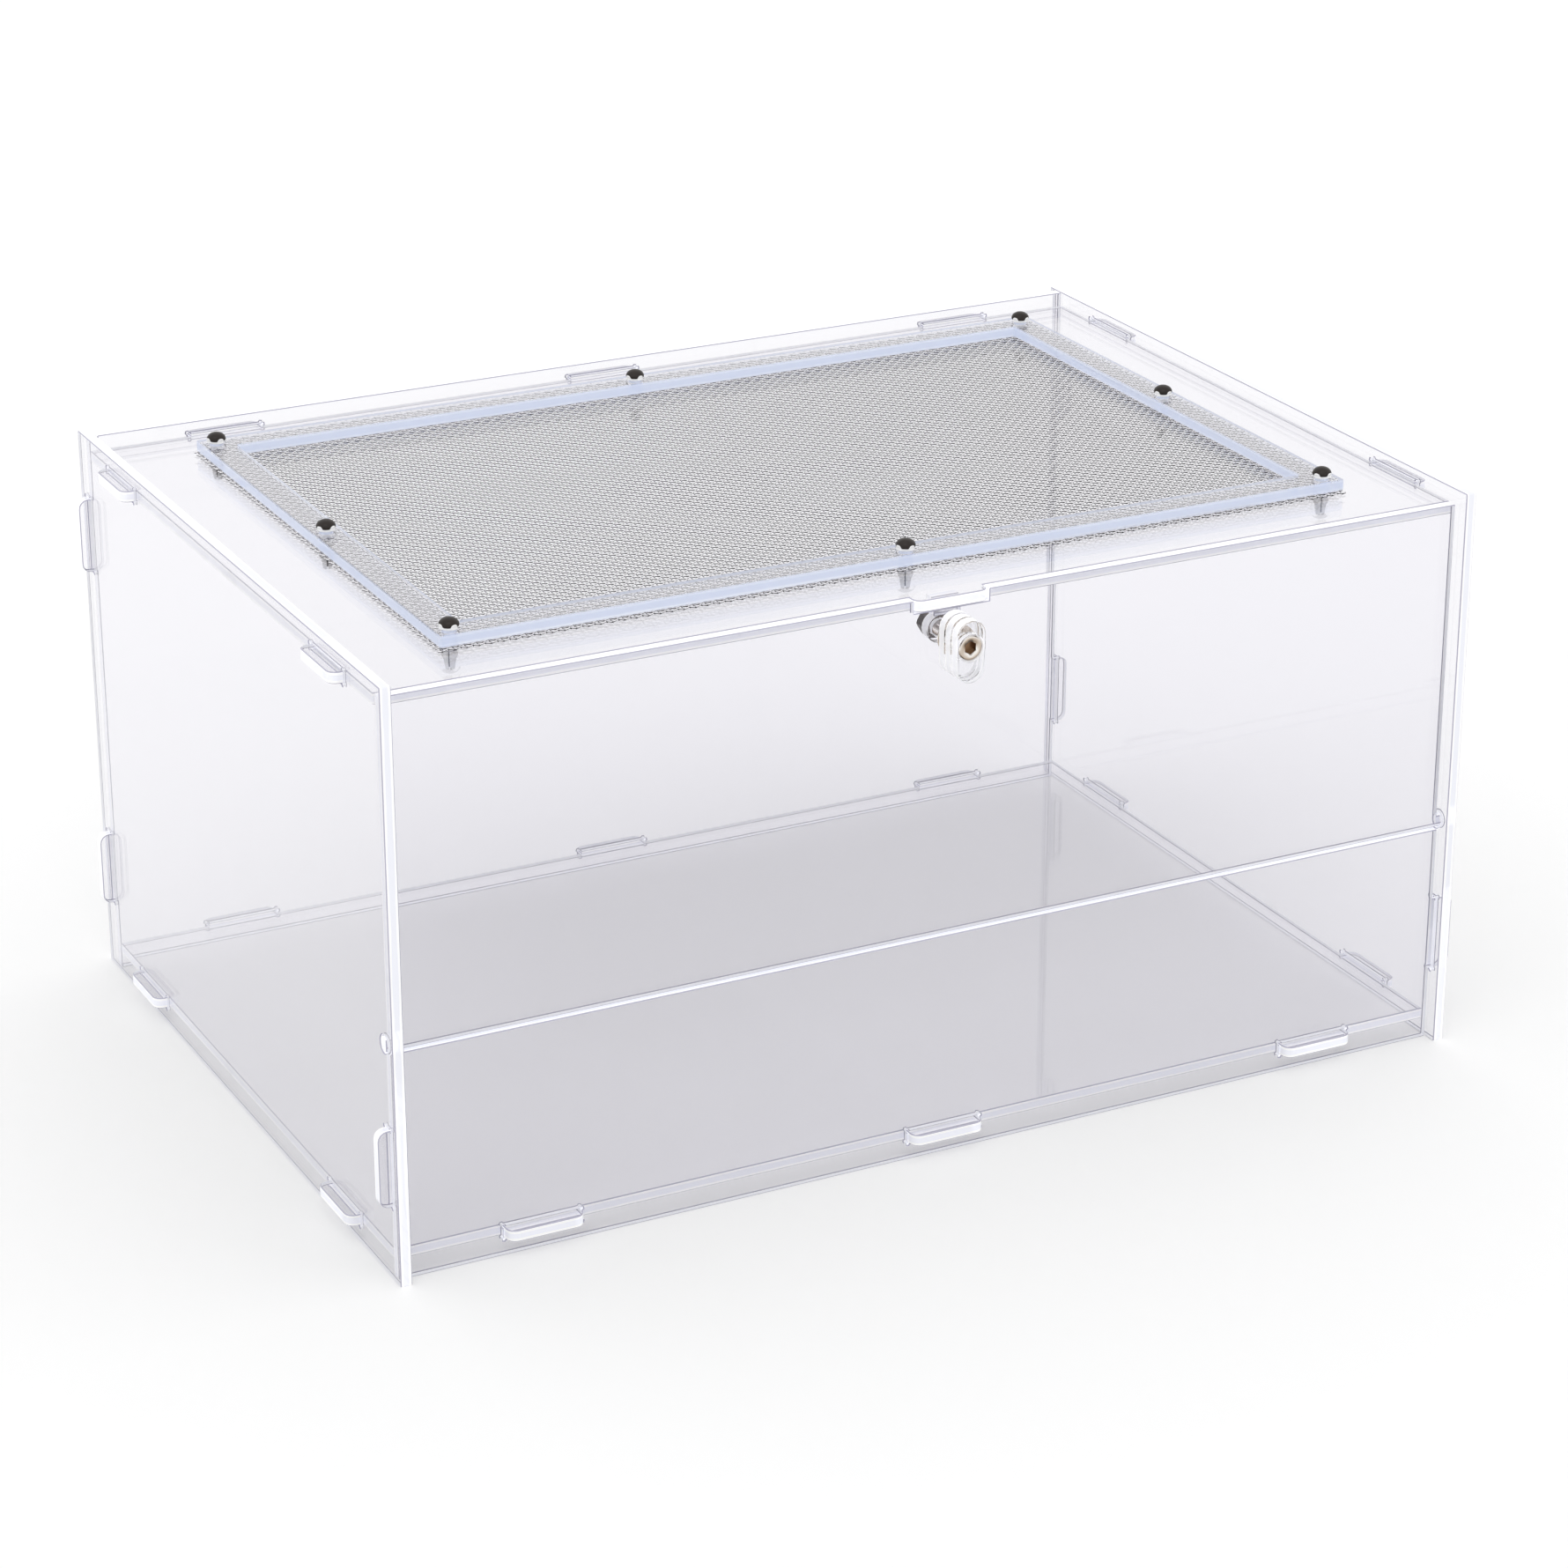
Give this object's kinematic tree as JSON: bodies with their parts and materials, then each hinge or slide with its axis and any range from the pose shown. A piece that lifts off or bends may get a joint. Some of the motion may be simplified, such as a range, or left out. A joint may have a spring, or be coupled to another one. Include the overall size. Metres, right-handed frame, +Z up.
{
  "type": "terrarium",
  "caption": "Clear tabbed-sheet enclosure with a drop-down front door on pivot ears, a turn latch and a riveted wire mesh vent in its top.",
  "frame": {"origin": "on the ground, under the middle of the outline, latch knob and tabs included", "axes": "+X along the width, to the right seen from the front; +Y towards the back; +Z up"},
  "size_m": [0.408, 0.2884, 0.2095],
  "materials": {
    "clear_acrylic": "clear, flame-bright cut edges",
    "steel_wire": "woven stainless wire",
    "natural_nylon": "natural translucent nylon",
    "dark_plastic": "near-black, smooth",
    "bright_metal": "bright, with a warm cast",
    "dark_steel": "blackened steel"
  },
  "bodies": {
    "case": {"floor_panel": "clear_acrylic", "left_side_panel": "clear_acrylic", "right_side_panel": "clear_acrylic", "back_panel": "clear_acrylic", "front_lower_panel": "clear_acrylic", "top_panel": "clear_acrylic", "strike_plate": "clear_acrylic", "mesh_retaining_frame": "clear_acrylic", "vent_mesh": "steel_wire", "vent_rivet_1": "natural_nylon", "vent_rivet_2": "natural_nylon", "vent_rivet_3": "natural_nylon", "vent_rivet_4": "natural_nylon", "vent_rivet_5": "natural_nylon", "vent_rivet_6": "natural_nylon", "vent_rivet_7": "natural_nylon", "vent_rivet_8": "natural_nylon", "vent_rivet_pin_1": "dark_plastic", "vent_rivet_pin_2": "dark_plastic", "vent_rivet_pin_3": "dark_plastic", "vent_rivet_pin_4": "dark_plastic", "vent_rivet_pin_5": "dark_plastic", "vent_rivet_pin_6": "dark_plastic", "vent_rivet_pin_7": "dark_plastic", "vent_rivet_pin_8": "dark_plastic"},
    "door": {"front_door": "clear_acrylic"},
    "latch": {"latch_knob_front": "clear_acrylic", "latch_knob_middle": "clear_acrylic", "latch_knob_back": "clear_acrylic", "latch_washer": "bright_metal", "latch_screw": "bright_metal", "latch_cam": "clear_acrylic", "latch_nut": "dark_steel"}
  },
  "joints": [
    {"name": "door_hinge", "type": "hinge", "parent": "case", "child": "door", "pos_m": [0, -0.12885, 0.0832], "axis": [1, 0, 0], "range_deg": [0, 114]},
    {"name": "latch_turn", "type": "hinge", "parent": "door", "child": "latch", "pos_m": [0, -0.12885, 0.186], "axis": [0, -1, 0], "range_deg": [0, 90]}
  ]
}
